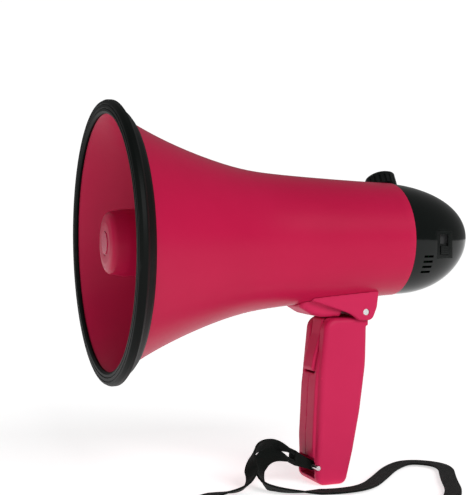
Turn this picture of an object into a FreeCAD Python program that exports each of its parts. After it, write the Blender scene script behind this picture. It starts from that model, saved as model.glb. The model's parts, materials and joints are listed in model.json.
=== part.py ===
"""Handheld megaphone with a folding pistol handle and a wrist strap.  All sizes in millimetres.

Frame: the origin is the centre of the handle's flat base, +Z is up, and the bell opens towards -X.
The horn's axis runs along X, axis_height above the base.  Stations along the horn are given as the
distance behind the bell's mouth, and along() turns a station into an x coordinate.
"""
import FreeCAD, Part
import math
import os

os.makedirs("parts", exist_ok=True)
V = FreeCAD.Vector

# ---- driving dimensions ----------------------------------------------------------------------
axis_height = 150.0          # horn axis above the handle's base
mouth_x = -137.0             # x of the bell's mouth
wall = 2.4                   # moulded wall of the horn and the rear cap
# outside radius of the horn at stations behind the mouth: flare first, then the straight barrel
bell_profile = [(1.5, 77.0), (10, 71.9), (35, 59.5), (60, 50.1), (85, 43.4), (110, 40.3), (140, 38.1),
                (165, 36.6), (185, 35.6)]
barrel_end = 185.0
bumper_outer_r = 82.2
bumper_inner_r = 74.1
cup_r = 19.5                 # sound reflector in the mouth
cup_length = 50.0
cap_gap = 0.3                # between barrel and rear cap
# rear cap sections: station, drop of the centre, lean in degrees, outside radius
cap_sections = [(barrel_end + cap_gap, 0.0, 0.0, 35.2), (198, -0.8, 2.0, 34.0), (210, -1.8, 5.0, 31.0),
                (222, -2.8, 8.0, 25.3), (230, -3.4, 10.0, 18.6), (233.5, -3.6, 10.5, 14.0)]
end_station, end_drop, end_lean = 233.5, -3.6, 10.5
handle_half = 15.0           # half the handle's width
core_half = 11.0             # half the width of the handle's core
pivot_x, pivot_z = 23.0, 105.5   # handle's fold pivot
pivot_pin_r = 2.0
trigger_half = 6.8
spring_z = 74.0              # height of the trigger spring
lug_r = 5.0                  # handle lug round the fold pivot
trigger_pivot_x, trigger_pivot_z = 1.5, 98.6
trigger_pin_r = 1.25
running = 0.06               # radial clearance of a running fit
strap_pin_x, strap_pin_z, strap_pin_r = -8.9, 11.2, 1.4
strap_tube_r = 2.0           # round tube with the section area of the 10 mm webbing
knob_station, knob_tilt, knob_r = 191.0, 28.0, 9.8
knob_boss_r = 5.0
cell_r, cell_length, cell_circle, cell_count = 7.2, 50.0, 14.8, 6
cap_turn = 25.0              # bayonet turn of the rear cap in degrees


# ---- helpers ---------------------------------------------------------------------------------
def along(station):
    """x coordinate of a station behind the mouth."""
    return mouth_x + station


def save(name, shape):
    """Write one node as STEP."""
    shape.exportStep("parts/" + name + ".step")
    print(name, round(shape.Volume / 1000.0, 3), "cm3", len(shape.Solids), "solid(s)", shape.isValid())


def joined(shapes):
    """One compound of separate pieces."""
    return Part.makeCompound(shapes)


def fused(shapes):
    """One solid from overlapping shapes."""
    result = shapes[0]
    for shape in shapes[1:]:
        result = result.fuse(shape)
    return result.removeSplitter()


def rounded_wire(corners):
    """Closed outline in the XZ plane from (x, z, corner radius)."""
    count = len(corners)
    edges = []
    starts = []
    ends = []
    arcs = []
    for i in range(count):
        x, z, radius = corners[i]
        here = V(x, 0, z)
        before = V(corners[i - 1][0], 0, corners[i - 1][1]) - here
        after = V(corners[(i + 1) % count][0], 0, corners[(i + 1) % count][1]) - here
        before.normalize()
        after.normalize()
        if radius <= 0:
            starts.append(here)
            ends.append(here)
            arcs.append(None)
            continue
        half = before.getAngle(after) / 2.0
        reach = radius / math.tan(half)
        middle = before + after
        middle.normalize()
        centre = here + middle * (radius / math.sin(half))
        top = centre - middle * radius
        starts.append(here + before * reach)
        ends.append(here + after * reach)
        arcs.append(top)
    for i in range(count):
        if arcs[i] is not None:
            edges.append(Part.Arc(starts[i], arcs[i], ends[i]).toShape())
        following = starts[(i + 1) % count]
        if ends[i].distanceToPoint(following) > 1e-6:
            edges.append(Part.makeLine(ends[i], following))
    return Part.Wire(Part.__sortEdges__(edges))


def side_plate(corners, y_low, y_high):
    """Plate with an outline in the XZ plane, between two y values."""
    face = Part.Face(rounded_wire(corners))
    face.translate(V(0, y_low, 0))
    return face.extrude(V(0, y_high - y_low, 0))


def box(x0, x1, y0, y1, z0, z1):
    """Box from its limits."""
    return Part.makeBox(x1 - x0, y1 - y0, z1 - z0, V(x0, y0, z0))


def turned(points):
    """Solid of revolution about the horn axis from (station, radius) points."""
    path = [V(along(s), 0, axis_height + r) for s, r in points]
    wire = Part.makePolygon(path + [path[0]])
    return Part.Face(wire).revolve(V(0, 0, axis_height), V(1, 0, 0), 360)


def ring(s0, s1, r0, r1):
    """Ring about the horn axis between two stations and two radii."""
    outer = Part.makeCylinder(r1, s1 - s0, V(along(s0), 0, axis_height), V(1, 0, 0))
    if r0 <= 0:
        return outer
    return outer.cut(Part.makeCylinder(r0, s1 - s0, V(along(s0), 0, axis_height), V(1, 0, 0)))


def ring_sector(s0, s1, r0, r1, start, sweep):
    """Part of such a ring; 0 degrees points down and 90 degrees towards +Y."""
    solid = Part.makeCylinder(r1, s1 - s0, V(0, 0, 0), V(0, 0, 1), sweep)
    solid = solid.cut(Part.makeCylinder(r0, s1 - s0, V(0, 0, 0), V(0, 0, 1)))
    solid.rotate(V(0, 0, 0), V(0, 0, 1), start)
    solid.rotate(V(0, 0, 0), V(0, 1, 0), 90)
    solid.translate(V(along(s0), 0, axis_height))
    return solid


def rod(radius, start, end):
    """Round rod between two points."""
    direction = end - start
    return Part.makeCylinder(radius, direction.Length, start, direction)


def polar(station, radius, degrees):
    """Point at a radius from the horn axis; 0 degrees points up and 90 degrees towards +Y."""
    angle = math.radians(degrees)
    return V(along(station), radius * math.sin(angle), axis_height + radius * math.cos(angle))


def spring(radius, wire_r, pitch, height, place, axis):
    """Helical compression spring from a place along an axis."""
    helix = Part.makeHelix(pitch, height, radius)
    circle = Part.Wire(Part.makeCircle(wire_r, V(radius, 0, 0), V(0, 1, 0)))
    coil = Part.Wire(helix.Edges).makePipeShell([circle], True, True)
    coil.Placement = FreeCAD.Placement(place, FreeCAD.Rotation(V(0, 0, 1), axis))
    return coil


# ---- horn: one moulding of bell and barrel ---------------------------------------------------
def profile_curve(offset):
    """Smooth curve through the bell profile, moved inwards by an offset."""
    curve = Part.BSplineCurve()
    curve.interpolate([V(along(s), 0, axis_height + r - offset) for s, r in bell_profile])
    return curve


def revolved_profile(offset):
    """Solid inside the bell profile."""
    curve = profile_curve(offset).toShape()
    first, last = curve.Vertexes[0].Point, curve.Vertexes[1].Point
    foot = V(first.x, 0, axis_height)
    back = V(last.x, 0, axis_height)
    straight = [Part.makeLine(last, back), Part.makeLine(back, foot), Part.makeLine(foot, first)]
    wire = Part.Wire([curve] + straight)
    return Part.Face(wire).revolve(V(0, 0, axis_height), V(1, 0, 0), 360)


def radius_at(station, offset=0.0):
    """Outside radius of the horn at a station."""
    curve = profile_curve(offset)
    plane = Part.Plane(V(along(station), 0, 0), V(1, 0, 0))
    point = curve.intersect(plane)[0][0]
    return point.Z - axis_height


flange_front, flange_back = 102.0, 105.0
screw_circle = 35.9          # throat screws' distance from the axis
driver_circle = 31.7         # driver screws' distance from the axis
lip_back = 108.0
bulkhead_front = 130.0
outer_horn = revolved_profile(0)
inner_horn = revolved_profile(wall)
lug_front, lug_back, lug_sweep = 179.2, 181.8, 16.0


def make_bell_shell():
    flange_lip = ring(flange_back, lip_back, 34.2, radius_at(flange_back) - 1.2)
    bulkhead_lip = ring(bulkhead_front - 2.5, bulkhead_front, 33.0, radius_at(bulkhead_front) - 1.2)
    shell = fused([outer_horn.cut(inner_horn), flange_lip, bulkhead_lip])
    for k in range(4):
        degrees = 45 + 90 * k
        front = polar(flange_back - 1, screw_circle, degrees)
        shell = shell.cut(rod(1.3, front, polar(lip_back + 1, screw_circle, degrees)))
    for k in range(3):
        start = 120 * k + 20
        groove = ring_sector(179.0, 182.0, 31.8, 34.1, start - 1, lug_sweep + cap_turn + 2)
        entry = ring_sector(179.0, barrel_end + 1, 31.8, 34.1, start + cap_turn - 1, lug_sweep + 2)
        shell = shell.cut(groove).cut(entry)
    for x, tip_z in bracket_screw_tips:
        shell = shell.cut(rod(1.6, V(x, 0, tip_z), V(x, 0, 122)))
    return shell


def make_bumper():
    edge, lip = bumper_outer_r, bumper_inner_r
    outside = [(-1.2, lip + 1.2), (-1.2, edge - 1.6), (-0.2, edge - 0.4), (0.6, edge), (3.4, edge)]
    back = [(8.6, edge - 5.6), (10.2, edge - 7.6), (10.4, lip - 3.2)]
    section = outside + back + [(1.2, lip + 2.5), (1.2, lip), (0.0, lip)]
    return turned(section).cut(outer_horn)


def make_reflector_cup():
    front = [(0.6, 0), (0.6, 11.5), (1.1, 15.0), (2.6, 17.6), (5.0, 19.0), (9.0, cup_r)]
    inside = [(cup_length, cup_r + 1.4), (cup_length, cup_r - 0.4), (9.5, cup_r - 2.0), (6.0, 16.6),
              (4.2, 12.0), (5.0, 6.0), (8.5, 1.5), (9.2, 0)]
    cup = turned(front + inside)
    return cup.cut(ring(0.0, 1.2, 0, 7.1))


def make_badge():
    return ring(0.9, 1.2, 0, 6.9).fuse(ring(0.3, 0.9, 0, 6.5)).removeSplitter()


def make_throat_horn():
    flange_r = radius_at(flange_back) - wall - 0.25
    body = [(flange_back, 6.0), (flange_back, flange_r), (flange_front, flange_r), (flange_front, 10.5),
            (96.0, 8.8), (34.0, 12.6), (34.0, 11.0), (90.0, 6.8)]
    horn = turned(body)
    for k in range(3):
        rib = box(along(38), along(47), -1.0, 1.0, axis_height + 12.0, axis_height + 18.35)
        rib.rotate(V(0, 0, axis_height), V(1, 0, 0), 60 + 120 * k)
        horn = horn.fuse(rib)
    for k in range(4):
        for radius, degrees in ((screw_circle, 45 + 90 * k), (driver_circle, 90 * k)):
            start = polar(flange_front + 0.8, radius, degrees)
            horn = horn.cut(rod(1.0, start, polar(flange_back, radius, degrees)))
    return horn.removeSplitter()


def stepped_screw(thread_r, head_r, tip, seat, head_height):
    """Screw with a plain shank from its tip to the seat and a head beyond the seat."""
    direction = seat - tip
    direction.normalize()
    head = rod(head_r, seat, seat + direction * head_height)
    slot = rod(head_r * 0.35, seat + direction * (head_height * 0.4), seat + direction * (head_height + 1))
    return rod(thread_r, tip, seat).fuse(head).cut(slot)


def make_throat_screws():
    screws = []
    for k in range(4):
        degrees = 45 + 90 * k
        tip = polar(flange_front + 0.8, screw_circle, degrees)
        screws.append(stepped_screw(1.0, 1.8, tip, polar(lip_back, screw_circle, degrees), 1.6))
    return joined(screws)


# ---- compression driver ----------------------------------------------------------------------
plate_front, plate_back = 105.8, 109.5


def with_screw_holes(shape, radius):
    for k in range(4):
        hole = rod(radius, polar(flange_back - 1, driver_circle, 90 * k), polar(114, driver_circle, 90 * k))
        shape = shape.cut(hole)
    return shape


def make_driver_gasket():
    return with_screw_holes(ring(flange_back, plate_front, 6.5, 33.6), 1.2)


def make_driver_front_plate():
    plate = turned([(plate_front, 6.0), (plate_front, 33.6), (plate_back, 33.6), (plate_back, 26.6),
                    (108.0, 26.0), (107.4, 14.0), (108.6, 7.0)])
    return with_screw_holes(plate, 1.2)


def make_diaphragm():
    return turned([(109.6, 26.2), (110.2, 26.2), (110.2, 24.6), (111.6, 21.0), (110.2, 17.0), (112.4, 13.2),
                   (109.6, 9.0), (108.9, 0), (108.4, 0), (109.1, 9.2), (111.7, 12.8), (109.5, 17.0),
                   (110.9, 21.0), (109.6, 24.4)])


def make_driver_cover():
    cover = turned([(plate_back, 28.4), (plate_back, 33.6), (111.4, 33.6), (111.4, 30.2), (126.8, 30.2),
                    (128.4, 28.6), (128.4, 0), (126.9, 0), (126.9, 28.4)])
    return with_screw_holes(cover, 1.2)


def make_driver_screws():
    screws = []
    for k in range(4):
        tip = polar(flange_front + 0.8, driver_circle, 90 * k)
        screws.append(stepped_screw(1.0, 1.45, tip, polar(111.4, driver_circle, 90 * k), 1.6))
    return joined(screws)


# ---- batteries -------------------------------------------------------------------------------
cell_front = 136.6
cell_back = cell_front + cell_length


def make_bulkhead():
    plate = ring(bulkhead_front, 132.0, 0, radius_at(132.0) - wall - 0.15)
    keyhole = rod(3.0, polar(129, 25, 180), polar(133, 25, 180))
    return plate.cut(keyhole)


def make_magazine():
    discs = [ring(134.6, 136.2, 0, 24.0), ring(187.0, 188.6, 0, 24.0), ring(135.0, 188.0, 0, 7.2)]
    magazine = fused(discs)
    for k in range(cell_count):
        start = 60 * k + 30 - 4
        magazine = magazine.fuse(ring_sector(135.0, 188.0, 21.0, 24.0, start, 8))
    return magazine.removeSplitter()


def make_cell(index):
    degrees = 60 * index
    can = rod(cell_r, polar(cell_front, cell_circle, degrees), polar(cell_back - 1.0, cell_circle, degrees))
    nub = rod(2.7, polar(cell_back - 1.0, cell_circle, degrees), polar(cell_back, cell_circle, degrees))
    return can.fuse(nub).removeSplitter()


def make_battery_contacts():
    strips = []
    for y in (-9.0, 9.0):
        back = [(132.4, -10), (132.4, 0), (134.6, 2), (132.4, 4), (132.4, 14)]
        front = [(132.0, 14), (132.0, 3), (134.0, 2), (132.0, 1), (132.0, -10)]
        outline = [(along(station), axis_height + z, 0) for station, z in back + front]
        strips.append(side_plate(outline, y - 3, y + 3))
    return joined(strips)


# ---- rear cap --------------------------------------------------------------------------------
def cap_body(offset, end_back):
    """Lofted cap, its radii reduced by an offset and its end moved forward."""
    wires = []
    for index, (station, drop, lean, radius) in enumerate(cap_sections):
        back = end_back * index / (len(cap_sections) - 1.0)
        centre = V(along(station - back), 0, axis_height + drop)
        angle = math.radians(lean)
        normal = V(math.cos(angle), 0, -math.sin(angle))
        wires.append(Part.Wire(Part.makeCircle(radius - offset, centre, normal)))
    return Part.makeLoft(wires, True, False)


def end_point(depth, across=0.0, side=0.0):
    """Point at a depth inside the cap's end face, measured along the face's normal."""
    angle = math.radians(end_lean)
    return V(along(end_station) - depth * math.cos(angle) + across * math.sin(angle), side,
             axis_height + end_drop + depth * math.sin(angle) + across * math.cos(angle))


def knob_point(radius):
    """Point on the volume knob's axis, at a distance from the horn axis."""
    return polar(knob_station, radius, knob_tilt)


switch_station, switch_half_z, switch_half_x = 207.0, 8.6, 5.2
switch_slope = 16.5
switch_y = -31.5


def switch_block(u0, u1, out0, out1, z0, z1):
    """Block at the mode switch: u along the cap, out away from it, z up."""
    block = box(u0, u1, -out1, -out0, z0, z1)
    block.rotate(V(0, 0, 0), V(0, 0, 1), -switch_slope)
    block.translate(V(along(switch_station), switch_y, axis_height - 3.5))
    return block


def make_rear_cap():
    outer = cap_body(0.0, 0.0)
    inner = cap_body(wall, 2.6)
    knob_boss = rod(knob_boss_r, knob_point(28.5), knob_point(36.4))
    shell = outer.fuse(knob_boss).cut(inner.cut(rod(knob_boss_r, knob_point(28.5), knob_point(40))))
    spigot = ring(177.0, 188.0, 29.8, 32.3)
    shoulder = ring(barrel_end + cap_gap, 188.0, 31.0, 33.6)
    cap = shell.fuse(spigot).fuse(shoulder)
    for k in range(3):
        cap = cap.fuse(ring_sector(lug_front, lug_back, 31.3, 33.8, 120 * k + 20, lug_sweep))
    for y, z in board_posts:
        post = rod(2.6, V(along(202.3), y, axis_height + z), V(along(231), y, axis_height + z))
        cap = cap.fuse(post.common(cap_body(wall / 2.0, 1.5)))
        cap = cap.cut(rod(1.0, V(along(201), y, axis_height + z), V(along(208), y, axis_height + z)))
    cap = cap.cut(rod(11.2, end_point(9), end_point(-3)))
    cap = cap.cut(rod(3.3, knob_point(26), knob_point(40)))
    cap = cap.cut(switch_block(-switch_half_x, switch_half_x, -8, 6, -switch_half_z, switch_half_z))
    for k in range(4):
        slot_z = axis_height - 21 + 3.2 * k
        cap = cap.cut(box(along(192), along(199), -40, -20, slot_z, slot_z + 1.4))
    return cap.removeSplitter()


board_posts = ((0.0, 17.0), (14.0, -15.0), (-12.0, -17.0))


def make_mic_ring():
    ring_outer = rod(11.1, end_point(4.0), end_point(-1.6))
    return ring_outer.cut(rod(8.6, end_point(5), end_point(-3)))


def make_mic_grille():
    disc = rod(8.5, end_point(1.6), end_point(0.4))
    for row, count, spread in ((0, 1, 0), (1, 6, 2.6), (2, 12, 5.2)):
        for k in range(count):
            angle = 2 * math.pi * k / count
            across, side = spread * math.cos(angle), spread * math.sin(angle)
            disc = disc.cut(rod(0.8, end_point(2, across, side), end_point(0, across, side)))
    return disc


def make_mic_foam():
    return rod(8.4, end_point(3.6), end_point(1.7))


def make_mic_boot():
    return rod(8.4, end_point(11.5), end_point(3.7)).cut(rod(4.9, end_point(10.2), end_point(3)))


def make_mic_capsule():
    return rod(4.85, end_point(10.1), end_point(3.8))


def make_volume_knob():
    base = rod(knob_r, knob_point(37.0), knob_point(43.2))
    dome = Part.makeSphere(17.0, knob_point(30.9)).common(rod(knob_r, knob_point(43.0), knob_point(49)))
    knob = base.fuse(dome).removeSplitter()
    for k in range(18):
        start, end = knob_point(36), knob_point(42.6)
        groove = rod(0.55, start, end)
        groove.translate(V(knob_r, 0, 0))
        groove.rotate(start, end - start, 20 * k)
        knob = knob.cut(groove)
    return knob.cut(rod(3.0 + running, knob_point(36), knob_point(41.5)))


def make_potentiometer():
    body = rod(4.8, knob_point(24.7), knob_point(28.4))
    bush = rod(3.2, knob_point(28.0), knob_point(33.5))
    return body.fuse(bush).fuse(rod(3.0, knob_point(33), knob_point(41.3))).removeSplitter()


def make_switch_bezel():
    plate = switch_block(-switch_half_x + 0.1, switch_half_x - 0.1, -2.0, 0.1,
                         -switch_half_z + 0.1, switch_half_z - 0.1)
    window = switch_block(-2.5, 2.5, -3, 3, -6.3, 6.3)
    return plate.cut(window)


def make_mode_slider():
    tab = switch_block(-2.3, 2.3, -2.4, 1.5, -6.0, -1.0)
    for k in range(3):
        tab = tab.cut(switch_block(-3, 3, 1.0, 2, -5.1 + 1.3 * k, -4.5 + 1.3 * k))
    keeper = switch_block(-3.4, 3.4, -3.4, -2.2, -7.2, 0.4)
    return tab.fuse(keeper).removeSplitter()


def make_slide_switch():
    return switch_block(-4.0, 4.0, -8.4, -3.6, -8.2, 8.2)


board_station = 200.6


def make_amp_board():
    board = Part.makeCylinder(24.5, 1.5, V(along(board_station), 0, axis_height - 3), V(1, 0, 0))
    for y, z in board_posts:
        board = board.cut(rod(1.2, V(along(199), y, axis_height + z), V(along(204), y, axis_height + z)))
    return board


def board_block(s0, s1, y0, y1, z0, z1):
    return box(along(s0), along(s1), y0, y1, axis_height + z0, axis_height + z1)


board_face = board_station + 1.5


def make_amp_chip():
    return board_block(board_face, board_face + 4.6, 2, 14, -5, 1)


def make_heat_sink():
    sink = board_block(board_face, 213, 2, 16, 1.0, 3.0)
    for k in range(3):
        sink = sink.fuse(board_block(board_face, 213, 2 + 6 * k, 4 + 6 * k, 3.0, 9.0))
    return sink.removeSplitter()


def make_capacitors():
    cans = []
    for y, z, radius, height in ((-6, -4, 4.0, 9.0), (5, -12, 3.2, 8.0), (-3, 9, 2.6, 7.0)):
        start = V(along(board_face), y, axis_height + z)
        cans.append(rod(radius, start, start + V(height, 0, 0)))
    return joined(cans)


def make_board_screws():
    screws = []
    for y, z in board_posts:
        tip = V(along(207), y, axis_height + z)
        screws.append(stepped_screw(1.0, 2.0, tip, V(along(board_station), y, axis_height + z), 1.4))
    return joined(screws)


def make_contact_disc():
    return ring(191.0, 192.5, 0, 17.5)


def make_board_spacers():
    spacers = []
    for y, z in ((0.0, -12.0), (-10.0, 5.0), (11.0, 0.0)):
        foot = V(along(192.5), y, axis_height + z)
        spacers.append(rod(2.0, foot, foot + V(board_station - 192.5, 0, 0)))
    return joined(spacers)


def make_contact_domes():
    domes = []
    for y, z in ((-9.0, 0.0), (9.0, 0.0)):
        domes.append(Part.makeCone(1.4, 3.6, 2.2, V(along(188.8), y, axis_height + z), V(1, 0, 0)))
    return joined(domes)


# ---- handle bracket and pivot ----------------------------------------------------------------
bracket_half = 18.0
hull_half = 13.5
slot_half = 15.35
slot_front, slot_roof = -6.0, 110.9
ear_outline = [(-13.2, 122, 0), (-13.2, 113.6, 1.6), (-0.8, 109.4, 60.0), (12.0, 105.0, 20.0),
               (18.5, 100.4, 2.0), (27.2, 100.2, 4.5), (30.6, 108, 8.0), (32.6, 122, 0)]
hull_outline = [(-19.0, 122, 0), (-19.0, 109.4, 2.0), (-11.5, 104.8, 8.0), (-4.0, 102.9, 8.0),
                (8.5, 102.9, 2.0), (11.0, 111.5, 0), (11.0, 122, 0)]
bracket_screw_tips = ((along(123.5), 107.6), (along(145.0), 105.0))


def edges_on_side(shape, half, low_x, high_x, low_z, high_z):
    """Edges of a plate's two side faces whose centres lie in a window."""
    found = []
    for edge in shape.Edges:
        centre = edge.CenterOfMass
        if abs(abs(centre.y) - half) < 0.01 and low_x < centre.x < high_x and low_z < centre.z < high_z:
            found.append(edge)
    return found


def make_bracket():
    ears = side_plate(ear_outline, -bracket_half, bracket_half)
    ears = ears.makeFillet(1.2, edges_on_side(ears, bracket_half, -14, 31, 90, 113.4))
    ears = ears.cut(box(slot_front, 40, -slot_half, slot_half, 90, slot_roof))
    hull = side_plate(hull_outline, -hull_half, hull_half)
    hull = hull.makeFillet(3.5, edges_on_side(hull, hull_half, -18.5, 8.0, 90, 109.0))
    bracket = ears.fuse(hull).cut(outer_horn)
    bracket = bracket.cut(rod(pivot_pin_r, V(pivot_x, -20, pivot_z), V(pivot_x, 20, pivot_z)))
    for x, tip_z in bracket_screw_tips:
        bracket = bracket.cut(rod(1.2, V(x, 0, tip_z - 0.1), V(x, 0, 125)))
    return bracket.removeSplitter()


def make_bracket_screws():
    screws = []
    for x, tip_z in bracket_screw_tips:
        inside = axis_height - radius_at(x - mouth_x) + wall
        screws.append(stepped_screw(1.15, 2.6, V(x, 0, tip_z), V(x, 0, inside + 0.6), 1.8))
    return joined(screws)


def make_pivot_pin():
    pin = rod(pivot_pin_r, V(pivot_x, -17.2, pivot_z), V(pivot_x, 17.2, pivot_z))
    return pin


# ---- handle ----------------------------------------------------------------------------------
panel_outline = [(-10.4, 0, 6.0), (9.8, 0, 5.0), (15.0, 19.7, 60.0), (20.1, 44, 80.0), (24.4, 73, 90.0),
                 (25.4, 102.2, 3.0), (-2.6, 102.2, 8.0), (-6.6, 68, 120.0)]
core_outline = [(-9.6, 8, 0), (7.0, 8, 0), (17.5, 44, 0), (22.5, 73, 0), (23.0, 102.4, 0),
                (-0.6, 102.4, 3.0), (-2.2, 92, 30.0), (-6.6, 76, 60.0), (-8.8, 60, 60.0),
                (-10.8, 28, 60.0), (-10.6, 18, 0)]
cavity_outline = [(-5.5, 25, 2.0), (9.5, 25, 2.0), (14.6, 43, 30.0), (19.4, 70, 40.0), (20.2, 96, 2.0),
                  (3.5, 96, 2.0), (-3.5, 62, 30.0)]
trigger_window = [(-30, 68.0, 0), (2, 68.0, 0), (7, 80, 0), (7.6, 110, 0), (-30, 110, 0)]
pocket = (-30.0, -3.6, 4.4, 17.0)   # strap pocket: x limits, z limits
pocket_half = 10.5
screw_places = ((3.0, 33.0), (13.0, 54.0), (16.5, 91.0))


def make_handle_solid():
    panels = side_plate(panel_outline, -handle_half, handle_half)
    rims = [edge for edge in panels.Edges if abs(abs(edge.CenterOfMass.y) - handle_half) < 0.01]
    panels = panels.makeFillet(3.0, rims)
    core = side_plate(core_outline, -core_half, core_half)
    core = core.makeFillet(1.2, edges_on_side(core, core_half, -11.5, -1.0, 18.5, 102.0))
    lug = rod(lug_r, V(pivot_x, -handle_half + 0.2, pivot_z), V(pivot_x, handle_half - 0.2, pivot_z))
    web = box(17.5, 25.9, -handle_half + 0.2, handle_half - 0.2, 97.0, 105.0)
    lug = lug.fuse(web)
    solid = panels.fuse(core).fuse(lug)
    cavity = side_plate(cavity_outline, -12.3, 12.3)
    bosses = [rod(3.2, V(x, -13, z), V(x, 13, z)) for x, z in screw_places]
    for boss in bosses:
        cavity = cavity.cut(boss)
    solid = solid.cut(cavity)
    solid = solid.cut(side_plate(trigger_window, -7.1, 7.1))
    x0, x1, z0, z1 = pocket
    solid = solid.cut(box(x0, x1, -pocket_half, pocket_half, z0, z1))
    solid = solid.fuse(box(2.2, 4.2, -12.4, 12.4, spring_z - 3.4, spring_z + 3.4))
    solid = solid.cut(rod(pivot_pin_r + running, V(pivot_x, -20, pivot_z), V(pivot_x, 20, pivot_z)))
    solid = solid.cut(rod(trigger_pin_r, V(trigger_pivot_x, -9.6, trigger_pivot_z),
                          V(trigger_pivot_x, 9.6, trigger_pivot_z)))
    strap_pin_hole = rod(strap_pin_r, V(strap_pin_x, -15.5, strap_pin_z), V(strap_pin_x, 15.5, strap_pin_z))
    solid = solid.cut(strap_pin_hole)
    for x, z in screw_places:
        solid = solid.cut(rod(1.2, V(x, -9.0, z), V(x, 20, z)))
        solid = solid.cut(rod(2.7, V(x, 12.6, z), V(x, 20, z)))
    return solid


def make_handle_screws():
    screws = []
    for x, z in screw_places:
        screws.append(stepped_screw(1.1, 2.5, V(x, -8.8, z), V(x, 12.6, z), 1.7))
    return joined(screws)


def make_trigger():
    outline = [(-1.8, 102.0, 1.5), (-3.4, 92, 12.0), (-7.9, 78, 40.0), (-9.6, 69.4, 2.5), (-5.0, 69.0, 1.0),
               (-1.0, 80, 10.0), (1.6, 92, 10.0), (4.3, 96.0, 2.0), (4.6, 102.0, 2.0)]
    blade = side_plate(outline, -trigger_half, trigger_half)
    fronts = []
    for edge in blade.Edges:
        centre = edge.CenterOfMass
        if abs(abs(centre.y) - trigger_half) < 0.01 and centre.x < -5.0:
            fronts.append(edge)
    blade = blade.makeFillet(1.0, fronts)
    hole = rod(trigger_pin_r + running, V(trigger_pivot_x, -9, trigger_pivot_z),
               V(trigger_pivot_x, 9, trigger_pivot_z))
    seat = rod(2.9, V(-6.6, 0, spring_z), V(2, 0, spring_z))
    return blade.cut(hole).cut(seat)


def make_trigger_spring():
    return spring(2.1, 0.3, 1.35, 8.0, V(-6.2, 0, spring_z), V(1, 0, 0))


def make_micro_switch():
    case = box(4.6, 11.0, -6.2, 6.2, 80.0, 92.0)
    lever = box(1.6, 4.6, -1.6, 1.6, 83.0, 86.0)
    return case.fuse(lever).removeSplitter()


def make_strap_loop():
    """Sewn end of the webbing round the strap pin."""
    eye = rod(3.0, V(strap_pin_x, -5, strap_pin_z), V(strap_pin_x, 5, strap_pin_z))
    pin_hole = rod(strap_pin_r, V(strap_pin_x, -9, strap_pin_z), V(strap_pin_x, 9, strap_pin_z))
    tail = side_plate([(-9.5, 8.6, 0), (-9.5, 14.0, 0), (-19.5, 21.2, 0), (-20.5, 12.0, 0)], -5, 5)
    return eye.fuse(tail).cut(pin_hole).removeSplitter()


# ---- wrist strap -----------------------------------------------------------------------------
floor_z = strap_tube_r + 0.1
strap_route = [(-20, 0, 14.4), (-28, -0.5, 18.5), (-36, -1.5, 19.5), (-43.5, -4, 15.5),
               (-45, -8, 8.5), (-44, -14, 3.4), (-37, -23, floor_z), (-24, -31, floor_z),
               (-6, -37, floor_z), (14, -34, floor_z), (32, -16, floor_z), (52, 6, floor_z),
               (72, 18, floor_z), (88, -2, floor_z), (70, -34, floor_z), (54, -68, floor_z),
               (24, -98, floor_z), (-16, -114, floor_z), (-58, -110, floor_z), (-90, -84, floor_z),
               (-102, -50, floor_z), (-93, -25, floor_z), (-75, -14, floor_z), (-58, -15, 3.0),
               (-51, -11.5, 8.5), (-50, -6, 17.0), (-45, -2, 24.5), (-36, -0.5, 26.0),
               (-28, 0, 23.5), (-20, 0, 18.8)]


def make_strap():
    """Tube of straight runs joined by tangent arcs along the strap's route."""
    points = [V(*point) for point in strap_route]
    edges = []
    here = points[0]
    for i in range(1, len(points) - 1):
        before = points[i - 1] - points[i]
        after = points[i + 1] - points[i]
        shorter = min(before.Length, after.Length)
        before.normalize()
        after.normalize()
        turn = math.pi - before.getAngle(after)
        radius = 0.45 * shorter / math.tan(turn / 2.0)
        reach = 0.45 * shorter
        middle = before + after
        middle.normalize()
        centre = points[i] + middle * (radius / math.cos(turn / 2.0))
        start = points[i] + before * reach
        end = points[i] + after * reach
        edges.append(Part.makeLine(here, start))
        edges.append(Part.Arc(start, centre - middle * radius, end).toShape())
        here = end
    edges.append(Part.makeLine(here, points[-1]))
    path = Part.Wire(edges)
    first = points[1] - points[0]
    circle = Part.Wire(Part.makeCircle(strap_tube_r, points[0], first))
    return path.makePipeShell([circle], True, False)


# ---- write every node ------------------------------------------------------------------------
save("bell_shell", make_bell_shell())
save("bell_bumper", make_bumper())
save("reflector_cup", make_reflector_cup())
save("reflector_badge", make_badge())
save("throat_horn", make_throat_horn())
save("throat_screws", make_throat_screws())
save("driver_gasket", make_driver_gasket())
save("driver_front_plate", make_driver_front_plate())
save("diaphragm", make_diaphragm())
save("voice_coil", ring(112.6, 117.4, 12.6, 13.2))
save("top_plate", ring(114.2, 117.2, 13.7, 27.6))
save("ring_magnet", ring(117.2, 123.7, 16.0, 28.0))
save("pole_yoke", fused([ring(123.7, 126.7, 0, 27.6), ring(114.4, 124.0, 0, 12.1)]))
save("driver_cover", make_driver_cover())
save("driver_screws", make_driver_screws())
save("battery_bulkhead", make_bulkhead())
save("battery_contacts", make_battery_contacts())
save("battery_magazine", make_magazine())
for cell in range(cell_count):
    save("battery_cell_" + str(cell + 1), make_cell(cell))
save("rear_cap", make_rear_cap())
save("mic_ring", make_mic_ring())
save("mic_grille", make_mic_grille())
save("mic_foam", make_mic_foam())
save("mic_boot", make_mic_boot())
save("mic_capsule", make_mic_capsule())
save("amp_board", make_amp_board())
save("amp_chip", make_amp_chip())
save("heat_sink", make_heat_sink())
save("capacitors", make_capacitors())
save("board_screws", make_board_screws())
save("board_spacers", make_board_spacers())
save("contact_disc", make_contact_disc())
save("contact_domes", make_contact_domes())
save("potentiometer", make_potentiometer())
save("volume_knob", make_volume_knob())
save("switch_bezel", make_switch_bezel())
save("slide_switch", make_slide_switch())
save("mode_slider", make_mode_slider())
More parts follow.
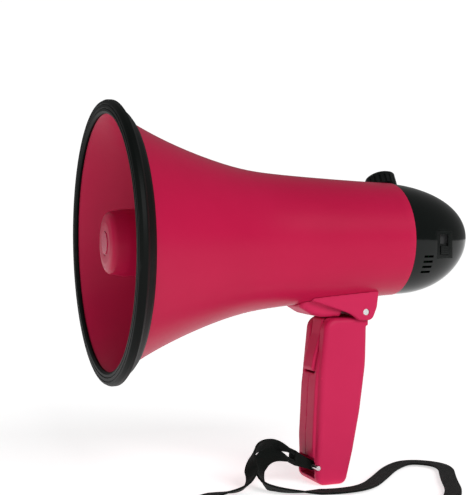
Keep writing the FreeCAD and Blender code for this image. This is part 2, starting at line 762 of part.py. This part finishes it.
save("handle_bracket", make_bracket())
save("bracket_screws", make_bracket_screws())
save("pivot_pin", make_pivot_pin())
handle = make_handle_solid()
save("handle_near_shell", handle.common(box(-60, 60, -30, 0, -5, 130)))
save("handle_far_shell", handle.common(box(-60, 60, 0, 30, -5, 130)))
save("handle_screws", make_handle_screws())
save("trigger", make_trigger())
save("trigger_pin", rod(trigger_pin_r, V(trigger_pivot_x, -9.5, trigger_pivot_z),
                        V(trigger_pivot_x, 9.5, trigger_pivot_z)))
save("trigger_spring", make_trigger_spring())
save("micro_switch", make_micro_switch())
save("strap_pin", rod(strap_pin_r, V(strap_pin_x, -14.6, strap_pin_z), V(strap_pin_x, 14.6, strap_pin_z)))
save("strap_loop", make_strap_loop())
save("wrist_strap", make_strap())
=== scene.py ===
"""Looks of the handheld megaphone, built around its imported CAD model.  Metres, +Z up, bell towards -X."""
import json
import math
import bpy
import numpy as np
from mathutils import Matrix, Vector


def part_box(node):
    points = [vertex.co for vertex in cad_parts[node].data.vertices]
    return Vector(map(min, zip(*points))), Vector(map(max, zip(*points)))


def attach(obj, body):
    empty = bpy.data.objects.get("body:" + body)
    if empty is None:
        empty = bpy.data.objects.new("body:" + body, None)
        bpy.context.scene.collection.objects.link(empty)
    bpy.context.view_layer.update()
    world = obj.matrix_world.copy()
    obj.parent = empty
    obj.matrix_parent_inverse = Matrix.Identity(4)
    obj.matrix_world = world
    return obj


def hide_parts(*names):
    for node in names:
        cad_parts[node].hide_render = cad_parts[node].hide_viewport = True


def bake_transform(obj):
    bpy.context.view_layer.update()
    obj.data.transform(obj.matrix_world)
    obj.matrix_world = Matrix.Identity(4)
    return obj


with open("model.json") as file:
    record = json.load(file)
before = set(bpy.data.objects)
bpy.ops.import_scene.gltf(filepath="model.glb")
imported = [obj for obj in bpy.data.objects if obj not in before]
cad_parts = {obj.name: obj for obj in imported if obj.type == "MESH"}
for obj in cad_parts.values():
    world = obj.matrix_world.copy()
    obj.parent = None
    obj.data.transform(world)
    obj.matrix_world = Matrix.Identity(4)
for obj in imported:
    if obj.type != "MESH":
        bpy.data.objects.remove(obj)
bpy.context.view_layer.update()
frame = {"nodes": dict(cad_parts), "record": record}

scene = bpy.context.scene
MM = 0.001

# ---- places worked out from the frame ---------------------------------------------------------
# Stations count along the horn from its mouth.  Stations and radii are in millimetres.
SHELL_STATION = 1.5        # where the bell shell starts, behind the mouth
RIM_WIDTH = 8.1            # the rubber rim, from its inner to its outer edge
CUP_RADIUS, CUP_BACK = 19.5, 50.0
shell_low, shell_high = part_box("bell_shell")
rim_low, rim_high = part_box("bell_bumper")
AXIS_Z = (shell_low.z + shell_high.z) / 2
MOUTH_X = shell_low.x - SHELL_STATION * MM
RIM_EDGE = (rim_high.y - rim_low.y) / 2 / MM
RIM_LIP = RIM_EDGE - RIM_WIDTH

# ---- camera -----------------------------------------------------------------------------------
CAMERA_PLACE = Vector((-0.2792, -0.5931, 0.1565))
CAMERA_YAW = math.radians(20.58)
CAMERA_PITCH = math.radians(0.93)      # looking down
CAMERA_ROLL = math.radians(-0.59)
CAMERA_LENS, SENSOR_WIDTH = 76.4, 36


def add_camera():
    level = math.cos(CAMERA_PITCH)
    forward = Vector((math.sin(CAMERA_YAW) * level, math.cos(CAMERA_YAW) * level, -math.sin(CAMERA_PITCH)))
    right = Vector((math.cos(CAMERA_YAW), -math.sin(CAMERA_YAW), 0))
    up = right.cross(forward)
    turned_right = right * math.cos(CAMERA_ROLL) + up * math.sin(CAMERA_ROLL)
    turned_up = up * math.cos(CAMERA_ROLL) - right * math.sin(CAMERA_ROLL)
    data = bpy.data.cameras.new("camera")
    data.lens = CAMERA_LENS
    data.sensor_width = SENSOR_WIDTH
    data.clip_start = 0.01
    camera = bpy.data.objects.new("camera", data)
    scene.collection.objects.link(camera)
    axes = Matrix((turned_right, turned_up, -forward)).transposed()
    camera.matrix_world = Matrix.Translation(CAMERA_PLACE) @ axes.to_4x4()
    scene.camera = camera


# ---- materials --------------------------------------------------------------------------------
class Surface:
    """A node material with short calls for the nodes used here."""

    def __init__(self, name, coordinates="Object"):
        self.material = bpy.data.materials.new(name)
        self.material.use_nodes = True
        self.nodes = self.material.node_tree.nodes
        self.links = self.material.node_tree.links
        self.shader = self.nodes["Principled BSDF"]
        self.place = self.nodes.new("ShaderNodeTexCoord").outputs[coordinates]

    def noise(self, scale, detail=3.0, stretch=None):
        node = self.nodes.new("ShaderNodeTexNoise")
        node.inputs["Scale"].default_value = scale
        node.inputs["Detail"].default_value = detail
        place = self.place
        if stretch:
            mapping = self.nodes.new("ShaderNodeMapping")
            mapping.inputs["Scale"].default_value = stretch
            self.links.new(place, mapping.inputs["Vector"])
            place = mapping.outputs["Vector"]
        self.links.new(place, node.inputs["Vector"])
        return node.outputs["Fac"]

    def wave(self, scale, direction, profile="SIN", distortion=0.0):
        node = self.nodes.new("ShaderNodeTexWave")
        node.bands_direction = direction
        node.wave_profile = profile
        node.inputs["Scale"].default_value = scale
        node.inputs["Distortion"].default_value = distortion
        self.links.new(self.place, node.inputs["Vector"])
        return node.outputs["Fac"]

    def ramp(self, value, stops):
        node = self.nodes.new("ShaderNodeValToRGB")
        elements = node.color_ramp.elements
        while len(elements) < len(stops):
            elements.new(0.5)
        for element, (position, colour) in zip(elements, stops):
            element.position = position
            element.color = (*colour, 1)
        self.links.new(value, node.inputs["Fac"])
        return node.outputs["Color"]

    def math(self, operation, a, b):
        node = self.nodes.new("ShaderNodeMath")
        node.operation = operation
        for socket, value in zip(node.inputs, (a, b)):
            if isinstance(value, float):
                socket.default_value = value
            else:
                self.links.new(value, socket)
        return node.outputs["Value"]

    def spread(self, value, low, high):
        node = self.nodes.new("ShaderNodeMapRange")
        node.inputs["To Min"].default_value = low
        node.inputs["To Max"].default_value = high
        self.links.new(value, node.inputs["Value"])
        return node.outputs["Result"]

    def mix(self, factor, a, b):
        node = self.nodes.new("ShaderNodeMix")
        node.data_type = "RGBA"
        self.links.new(factor, node.inputs["Factor"])
        for socket, value in ((node.inputs["A"], a), (node.inputs["B"], b)):
            if isinstance(value, tuple):
                socket.default_value = (*value, 1)
            else:
                self.links.new(value, socket)
        return node.outputs["Result"]

    def edges(self, low, high):
        """0 on flats and 1 on worn convex edges."""
        geometry = self.nodes.new("ShaderNodeNewGeometry")
        node = self.nodes.new("ShaderNodeMapRange")
        node.inputs["From Min"].default_value = low
        node.inputs["From Max"].default_value = high
        self.links.new(geometry.outputs["Pointiness"], node.inputs["Value"])
        return node.outputs["Result"]

    def bump(self, height, strength, distance=0.0002):
        node = self.nodes.new("ShaderNodeBump")
        node.inputs["Strength"].default_value = strength
        node.inputs["Distance"].default_value = distance
        self.links.new(height, node.inputs["Height"])
        self.links.new(node.outputs["Normal"], self.shader.inputs["Normal"])

    def finish(self, colour, roughness, **fixed):
        self.links.new(colour, self.shader.inputs["Base Color"])
        self.links.new(roughness, self.shader.inputs["Roughness"])
        for name, value in fixed.items():
            self.shader.inputs[name.replace("_", " ")].default_value = value
        return self.material


def moulded(name, dark, light, roughness, grain=900.0, bump=0.05, wear=0.0, **fixed):
    """Moulded plastic or rubber: slow colour drift, fine grain, faint paler wear along its edges."""
    surface = Surface(name)
    colour = surface.ramp(surface.noise(16.0, 4.0), ((0.3, dark), (0.7, light)))
    if wear > 0:
        worn = surface.math("MULTIPLY", surface.edges(0.53, 0.62), surface.noise(220.0, 5.0))
        paler = tuple(min(1.0, c * 1.6 + 0.02) for c in light)
        colour = surface.mix(surface.math("MULTIPLY", worn, float(wear)), colour, paler)
    fine = surface.noise(grain, 3.0)
    smudges = surface.noise(38.0, 5.0)
    rough = surface.math("ADD", surface.spread(fine, roughness - 0.05, roughness + 0.05),
                         surface.spread(smudges, -0.05, 0.05))
    surface.bump(fine, bump)
    return surface.finish(colour, rough, **fixed)


def brushed(name, dark, light, roughness, stretch=(1, 1, 30), **fixed):
    """Bare or plated metal with fine drawn lines."""
    surface = Surface(name)
    lines = surface.noise(160.0, 4.0, stretch)
    colour = surface.ramp(lines, ((0.3, dark), (0.7, light)))
    rough = surface.spread(surface.noise(60.0, 4.0), roughness - 0.06, roughness + 0.08)
    surface.bump(lines, 0.08, 0.00005)
    return surface.finish(colour, rough, Metallic=1.0, **fixed)


def woven(name, from_uv):
    """Black nylon webbing: diagonal yarn ribs crossed by fine picks, with a little fuzz."""
    surface = Surface(name, "UV" if from_uv else "Object")
    yarn_scale = 3.0 if from_uv else 160.0
    ribs = surface.wave(yarn_scale * 3.2, "DIAGONAL", "TRI", 0.4)
    picks = surface.wave(yarn_scale * 2.4, "X", "SIN", 0.3)
    weave = surface.math("MULTIPLY", ribs, picks)
    colour = surface.ramp(weave, ((0.05, (0.002, 0.003, 0.0025)), (0.8, (0.012, 0.015, 0.013))))
    fuzz = surface.noise(40.0 if from_uv else 2600.0, 4.0)
    rough = surface.spread(fuzz, 0.72, 0.95)
    surface.bump(surface.math("ADD", weave, surface.math("MULTIPLY", fuzz, 0.3)), 0.7, 0.0002)
    return surface.finish(colour, rough, Sheen_Weight=0.06, Sheen_Roughness=0.4, Specular_IOR_Level=0.12)


def banded(name, first, second, scale, direction, roughness, **fixed):
    """Wound wire or a printed sleeve: fine parallel bands."""
    surface = Surface(name)
    bands = surface.wave(scale, direction, "SIN", 0.1)
    rough = surface.spread(surface.noise(120.0, 3.0), roughness - 0.05, roughness + 0.08)
    surface.bump(bands, 0.35, 0.0001)
    return surface.finish(surface.ramp(bands, ((0.35, first), (0.65, second))), rough, **fixed)


def spotted(name, ground, spots, scale, roughness, bump, **fixed):
    """Open-cell foam, ferrite or a circuit board: cells on a ground colour."""
    surface = Surface(name)
    cells = surface.nodes.new("ShaderNodeTexVoronoi")
    cells.inputs["Scale"].default_value = scale
    surface.links.new(surface.place, cells.inputs["Vector"])
    distance = cells.outputs["Distance"]
    rough = surface.spread(surface.noise(90.0, 3.0), roughness - 0.06, roughness + 0.06)
    surface.bump(distance, bump, 0.0002)
    return surface.finish(surface.ramp(distance, ((0.25, ground), (0.6, spots))), rough, **fixed)


PINK = ((0.43, 0.0050, 0.047), (0.47, 0.0068, 0.055))
# Paler, lit copy of the horn's pink for the handle: painted light, the light its side panels catch.
PINK_GRIP_LIT = ((0.50, 0.0130, 0.074), (0.54, 0.0170, 0.084))
BLACK = ((0.0012, 0.0022, 0.0018), (0.0024, 0.0038, 0.0032))


def make_materials():
    """One material for each slot of the record."""
    return {
        "horn_plastic": moulded("horn_pink_abs", *PINK, 0.36, bump=0.04, wear=0.25,
                                Specular_IOR_Level=0.14, Coat_Weight=0.02, Coat_Roughness=0.25),
        # The handle gets the paler copy of the pink: painted light on the grip's lit side panels.
        "handle_plastic": moulded("handle_pink_abs_lit", *PINK_GRIP_LIT, 0.42, grain=1300.0, bump=0.06, wear=0.35,
                                  Specular_IOR_Level=0.14),
        "bumper_rubber": moulded("black_rubber", *BLACK, 0.48, grain=1700.0, bump=0.2, wear=0.5,
                                 Specular_IOR_Level=0.10),
        "cap_plastic": moulded("black_gloss_abs", *BLACK, 0.12, bump=0.01, wear=0.5,
                               Specular_IOR_Level=0.22, Coat_Weight=0.08, Coat_Roughness=0.05),
        "badge_plastic": moulded("badge_pink", (0.45, 0.004, 0.05), (0.5, 0.008, 0.07), 0.22, bump=0.02),
        "inner_plastic": moulded("inner_black_abs", (0.012, 0.012, 0.013), (0.022, 0.022, 0.024), 0.55,
                                 bump=0.15),
        "cone_film": moulded("amber_film", (0.42, 0.24, 0.06), (0.55, 0.34, 0.10), 0.3, grain=400.0,
                             bump=0.03),
        "copper_coil": banded("copper_winding", (0.42, 0.13, 0.05), (0.75, 0.30, 0.14), 900.0, "X", 0.3,
                              Metallic=0.9),
        "driver_steel": brushed("zinc_plated_steel", (0.42, 0.42, 0.40), (0.58, 0.58, 0.55), 0.36),
        "magnet_ferrite": spotted("ground_ferrite", (0.035, 0.035, 0.038), (0.055, 0.054, 0.055), 900.0,
                                  0.6, 0.2),
        "screw_steel": brushed("bright_steel", (0.62, 0.62, 0.63), (0.80, 0.80, 0.80), 0.22),
        "cell_can": banded("cell_sleeve", (0.015, 0.04, 0.16), (0.03, 0.07, 0.24), 22.0, "X", 0.28,
                           Coat_Weight=0.5),
        "grille_metal": moulded("black_enamelled_steel", (0.01, 0.011, 0.011), (0.018, 0.019, 0.019),
                                0.35, grain=700.0, bump=0.06, wear=0.8),
        "mic_foam": spotted("open_cell_foam", (0.006, 0.006, 0.006), (0.02, 0.02, 0.02), 1400.0,
                            0.92, 0.9, Sheen_Weight=0.2),
        "board_laminate": spotted("green_board", (0.012, 0.11, 0.035), (0.02, 0.17, 0.055), 260.0,
                                  0.35, 0.1, Coat_Weight=0.3),
        "heat_sink_metal": brushed("bare_aluminium", (0.62, 0.63, 0.64), (0.76, 0.77, 0.78), 0.34,
                                   (30, 1, 1)),
        "strap_webbing": woven("black_webbing_end", False),
    }


def dress_cad():
    """Give every CAD node the material of its slot."""
    by_node = {part["node"]: part["material_slot"] for part in frame["record"]["subparts"]}
    for name, node in frame["nodes"].items():
        node.data.materials.clear()
        node.data.materials.append(materials[by_node[name]])
    return by_node


# ---- mesh helpers -----------------------------------------------------------------------------
def add_mesh(name, points, faces, smooth_angle=35):
    """New object from points in metres; faces meet smoothly below the angle."""
    mesh = bpy.data.meshes.new(name)
    mesh.from_pydata([tuple(p) for p in points], [], faces)
    mesh.validate()
    mesh.update()
    piece = bpy.data.objects.new(name, mesh)
    scene.collection.objects.link(piece)
    smooth(piece, smooth_angle)
    return piece


def smooth(piece, angle=35):
    for polygon in piece.data.polygons:
        polygon.use_smooth = True
    piece.data.set_sharp_from_angle(angle=math.radians(angle))


def rounded(corners, steps=6):
    """Closed outline with rounded corners from (x, y, corner radius)."""
    outline = []
    for i, (x, y, radius) in enumerate(corners):
        here = Vector((x, y))
        before = Vector(corners[i - 1][:2]) - here
        after = Vector(corners[(i + 1) % len(corners)][:2]) - here
        if radius <= 0:
            outline.append(here)
            continue
        half = before.angle(after) / 2
        reach = min(radius / math.tan(half), before.length * 0.48, after.length * 0.48)
        start, end = here + before.normalized() * reach, here + after.normalized() * reach
        for k in range(steps + 1):
            share = k / steps
            outline.append(start * (1 - share) ** 2 + here * (2 * share * (1 - share)) + end * share ** 2)
    return outline


def lathe(name, corners, segments=224):
    """Closed ring about the horn's axis from (station, radius, corner radius) in millimetres."""
    outline = rounded(corners)
    points = []
    for k in range(segments):
        angle = 2 * math.pi * k / segments
        for station, radius in outline:
            points.append((MOUTH_X + station * MM, radius * MM * math.sin(angle),
                           AXIS_Z + radius * MM * math.cos(angle)))
    count = len(outline)
    faces = []
    for k in range(segments):
        following = (k + 1) % segments
        for i in range(count):
            j = (i + 1) % count
            faces.append((k * count + i, k * count + j, following * count + j, following * count + i))
    return add_mesh(name, points, faces, 50)


def stand_in(piece, node, body):
    """Show a piece instead of a CAD node, on its body and with its material."""
    slot = slot_of[node]
    piece.data.materials.clear()
    piece.data.materials.append(materials[slot])
    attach(piece, body)
    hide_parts(node)
    return piece


def soften(node, name, body, voxel, rounds, angle=40):
    """The CAD node's shape with moulded, slightly rounded edges."""
    piece = bpy.data.objects.new(name, frame["nodes"][node].data.copy())
    scene.collection.objects.link(piece)
    remesh = piece.modifiers.new("remesh", "REMESH")
    remesh.mode = "VOXEL"
    remesh.voxel_size = voxel * MM
    relax = piece.modifiers.new("relax", "SMOOTH")
    relax.factor = 0.5
    relax.iterations = rounds
    graph = bpy.context.evaluated_depsgraph_get()
    mesh = bpy.data.meshes.new_from_object(piece.evaluated_get(graph))
    piece.modifiers.clear()
    piece.data = mesh
    smooth(piece, angle)
    return stand_in(piece, node, body)


# ---- pieces built on the frame ----------------------------------------------------------------
def add_bumper():
    """Rubber rim: rounded bead with two grooves on its face and a sloping back.

    Each corner is its station, its radius and how far it is rounded.
    """
    edge, lip = RIM_EDGE, RIM_LIP
    corners = [(1.2, lip, 0.3), (-0.1, lip, 0.4), (-1.1, lip + 1.3, 0.6), (-1.2, lip + 2.6, 0.3),
               (-0.6, lip + 2.9, 0.2), (-1.2, lip + 3.3, 0.3), (-1.2, lip + 5.0, 0.3),
               (-0.6, lip + 5.3, 0.2), (-1.1, lip + 5.7, 0.3), (-0.9, edge - 1.0, 1.2),
               (0.9, edge, 1.2), (3.3, edge, 1.0), (4.6, edge - 1.6, 0.4), (5.0, edge - 2.6, 0.2),
               (8.4, edge - 5.6, 0.6), (10.2, edge - 7.8, 0.9), (10.4, lip - 3.0, 0.4),
               (9.9, lip - 2.9, 0.2), (1.3, lip + 2.2, 0.3)]
    stand_in(lathe("rim_bumper", corners), "bell_bumper", "horn")


def add_reflector():
    """Reflector cup with a rounded shoulder and a shallow seat for its badge."""
    radius, back = CUP_RADIUS, CUP_BACK
    corners = [(1.3, 0.05, 0), (1.3, 7.1, 0.2), (0.6, 7.2, 0.3), (0.6, 12.0, 3.0),
               (1.6, radius - 1.6, 4.5),
               (11.0, radius, 6.0), (back - 2.0, radius + 1.3, 0.6), (back, radius + 1.4, 0.4),
               (back, radius - 0.4, 0.3), (9.5, radius - 2.0, 3.0), (5.0, 13.0, 5.0), (4.6, 0.05, 0)]
    stand_in(lathe("reflector", corners, 160), "reflector_cup", "horn")


# ---- wrist strap ------------------------------------------------------------------------------
# Route of the webbing's middle in millimetres, from one sewn end to the other.
FLOOR_Z = 2.1
STRAP_ROUTE = ((-20, 0, 14.4), (-28, -0.5, 18.5), (-36, -1.5, 19.5), (-43.5, -4, 15.5),
               (-45, -8, 8.5), (-44, -14, 3.4), (-37, -23, FLOOR_Z), (-24, -31, FLOOR_Z),
               (-6, -37, FLOOR_Z), (14, -34, FLOOR_Z), (32, -16, FLOOR_Z), (52, 6, FLOOR_Z),
               (72, 18, FLOOR_Z), (88, -2, FLOOR_Z), (70, -34, FLOOR_Z), (54, -68, FLOOR_Z),
               (24, -98, FLOOR_Z), (-16, -114, FLOOR_Z), (-58, -110, FLOOR_Z), (-90, -84, FLOOR_Z),
               (-102, -50, FLOOR_Z), (-93, -25, FLOOR_Z), (-75, -14, FLOOR_Z), (-58, -15, 3.0),
               (-51, -11.5, 8.5), (-50, -6, 17.0), (-45, -2, 24.5), (-36, -0.5, 26.0),
               (-28, 0, 23.5), (-20, 0, 18.8))
STRAP_WIDTH, STRAP_THICK = 10.0 * MM, 1.3 * MM
STRAP_LOWEST = 0.4 * MM                 # keeps the webbing's underside off the floor
STEEP = 0.35                            # below this the path is too steep to say which way is level
TWIST_TURN = math.radians(52)           # the webbing turns on edge near its ends:
TWIST_PEAK, TWIST_END = 0.022, 0.075    # most at the first distance, not at all past the second


def strap_path():
    """Points along the smooth line of the strap's route."""
    curve = bpy.data.curves.new("strap_route", "CURVE")
    curve.dimensions = "3D"
    curve.resolution_u = 16
    spline = curve.splines.new("NURBS")
    spline.points.add(len(STRAP_ROUTE) - 1)
    for point, place in zip(spline.points, STRAP_ROUTE):
        point.co = (place[0] * MM, place[1] * MM, place[2] * MM, 1)
    spline.order_u = 3
    spline.use_endpoint_u = True
    route = bpy.data.objects.new("strap_route", curve)
    line = bpy.data.meshes.new_from_object(route)
    path = [vertex.co.copy() for vertex in line.vertices]
    bpy.data.objects.remove(route)
    return path


def twist(from_end):
    """Angle of the band's width from level, at a distance from the strap's nearer end."""
    if from_end < TWIST_PEAK:
        return TWIST_TURN * math.sin(math.pi / 2 * from_end / TWIST_PEAK)
    if from_end < TWIST_END:
        return TWIST_TURN * math.cos(math.pi / 2 * (from_end - TWIST_PEAK) / (TWIST_END - TWIST_PEAK))
    return 0.0


def ribbon(name, path, width, thick):
    """Flat woven band along a path, with rounded edges and UVs along its length."""
    points = np.array(path)
    steps = np.linalg.norm(np.diff(points, axis=0), axis=1)
    travelled = np.concatenate([[0], np.cumsum(steps)])
    tangents = np.gradient(points, axis=0)
    upper = ((-1, 0.45), (-0.94, 1), (-0.84, 0.8), (-0.4, 1), (0, 0.86), (0.4, 1), (0.84, 0.8),
             (0.94, 1), (1, 0.45))
    section = upper + tuple((u, -v) for u, v in reversed(upper))
    count = len(section)
    verts = []
    across = Vector((0, 1, 0))
    for place, tangent, distance in zip(points, tangents, travelled):
        tangent = Vector(tangent).normalized()
        level = tangent.cross(Vector((0, 0, 1)))
        if level.length < STEEP:
            level = across - tangent * across.dot(tangent)
        level.normalize()
        if level.dot(across) < 0:
            level = -level
        across = level
        lift = level.cross(tangent).normalized()
        if lift.z < 0:
            lift = -lift
        angle = twist(min(distance, travelled[-1] - distance))
        wide = level * math.cos(angle) + lift * math.sin(angle)
        normal = wide.cross(tangent).normalized()
        for u, v in section:
            corner = Vector(place) + wide * (u * width / 2) + normal * (v * thick / 2)
            corner.z = max(corner.z, STRAP_LOWEST)
            verts.append(corner)
    faces = []
    for row in range(len(points) - 1):
        for k in range(count):
            a, b = row * count + k, row * count + (k + 1) % count
            faces.append((a, b, b + count, a + count))
    last = (len(points) - 1) * count
    faces.append(tuple(reversed(range(count))))
    faces.append(tuple(range(last, last + count)))
    band = add_mesh(name, verts, faces, 50)
    layer = band.data.uv_layers.new(name="UVMap")
    for polygon in band.data.polygons:
        for loop in polygon.loop_indices:
            row, k = divmod(band.data.loops[loop].vertex_index, count)
            layer.data[loop].uv = (travelled[row] / width, section[k][0] * 0.5 + 0.5)
    return band, float(travelled[-1])


def add_strap():
    """Webbing with its ends at the handle and its loop lying on the floor."""
    path = strap_path()
    band, length = ribbon("wrist_strap_webbing", path, STRAP_WIDTH, STRAP_THICK)
    band.data.materials.append(woven("black_webbing", True))
    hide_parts("wrist_strap")
    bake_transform(band)


# ---- studio -----------------------------------------------------------------------------------
FLOOR_HALF = 6
FLOOR_GLOW = 0.62                          # keeps the floor as pale as the background
WORLD_LIGHT, WORLD_SEEN = 0.22, 1.05       # strength for the objects and for the camera
LIGHT_TARGET = Vector((0, 0, 0.12))
KEY_PLACE, KEY_ANGLE, KEY_POWER = Vector((0.25, -1.3, 0.85)), math.radians(35), 1.85
FILL_PLACE, FILL_SIZE, FILL_POWER = Vector((-1.2, -0.6, 0.5)), 1.0, 2


def add_light(name, kind, place, power):
    data = bpy.data.lights.new(name, kind)
    data.energy = power
    lamp = bpy.data.objects.new(name, data)
    scene.collection.objects.link(lamp)
    turn = (LIGHT_TARGET - place).to_track_quat("-Z", "Y").to_matrix().to_4x4()
    lamp.matrix_world = Matrix.Translation(place) @ turn
    return data


def add_studio():
    """Pale floor and background with a soft key light and a weak fill."""
    half = FLOOR_HALF
    floor = add_mesh("floor", [(-half, -half, 0), (half, -half, 0), (half, half, 0), (-half, half, 0)],
                     [(0, 1, 2, 3)])
    pale = moulded("pale_floor", (0.90, 0.90, 0.90), (0.92, 0.92, 0.92), 0.7, Specular_IOR_Level=0.1,
                   Emission_Color=(1, 1, 1, 1), Emission_Strength=FLOOR_GLOW)
    floor.data.materials.append(pale)
    world = bpy.data.worlds.new("studio")
    world.use_nodes = True
    nodes, links = world.node_tree.nodes, world.node_tree.links
    background = nodes["Background"]
    background.inputs["Color"].default_value = (1, 1, 1, 1)
    rays = nodes.new("ShaderNodeLightPath")
    strength = nodes.new("ShaderNodeMapRange")
    strength.inputs["To Min"].default_value = WORLD_LIGHT
    strength.inputs["To Max"].default_value = WORLD_SEEN
    links.new(rays.outputs["Is Camera Ray"], strength.inputs["Value"])
    links.new(strength.outputs["Result"], background.inputs["Strength"])
    scene.world = world
    add_light("key", "SUN", KEY_PLACE, KEY_POWER).angle = KEY_ANGLE
    add_light("fill", "AREA", FILL_PLACE, FILL_POWER).size = FILL_SIZE
    scene.view_settings.view_transform = "Standard"


add_camera()
materials = make_materials()
slot_of = dress_cad()
add_strap()
add_bumper()
add_reflector()
for half in ("near", "far"):
    soften("handle_" + half + "_shell", "grip_" + half, "handle", 0.5, 5)
soften("handle_bracket", "bracket", "horn", 0.45, 5)
soften("trigger", "trigger_blade", "trigger", 0.4, 4)
add_studio()
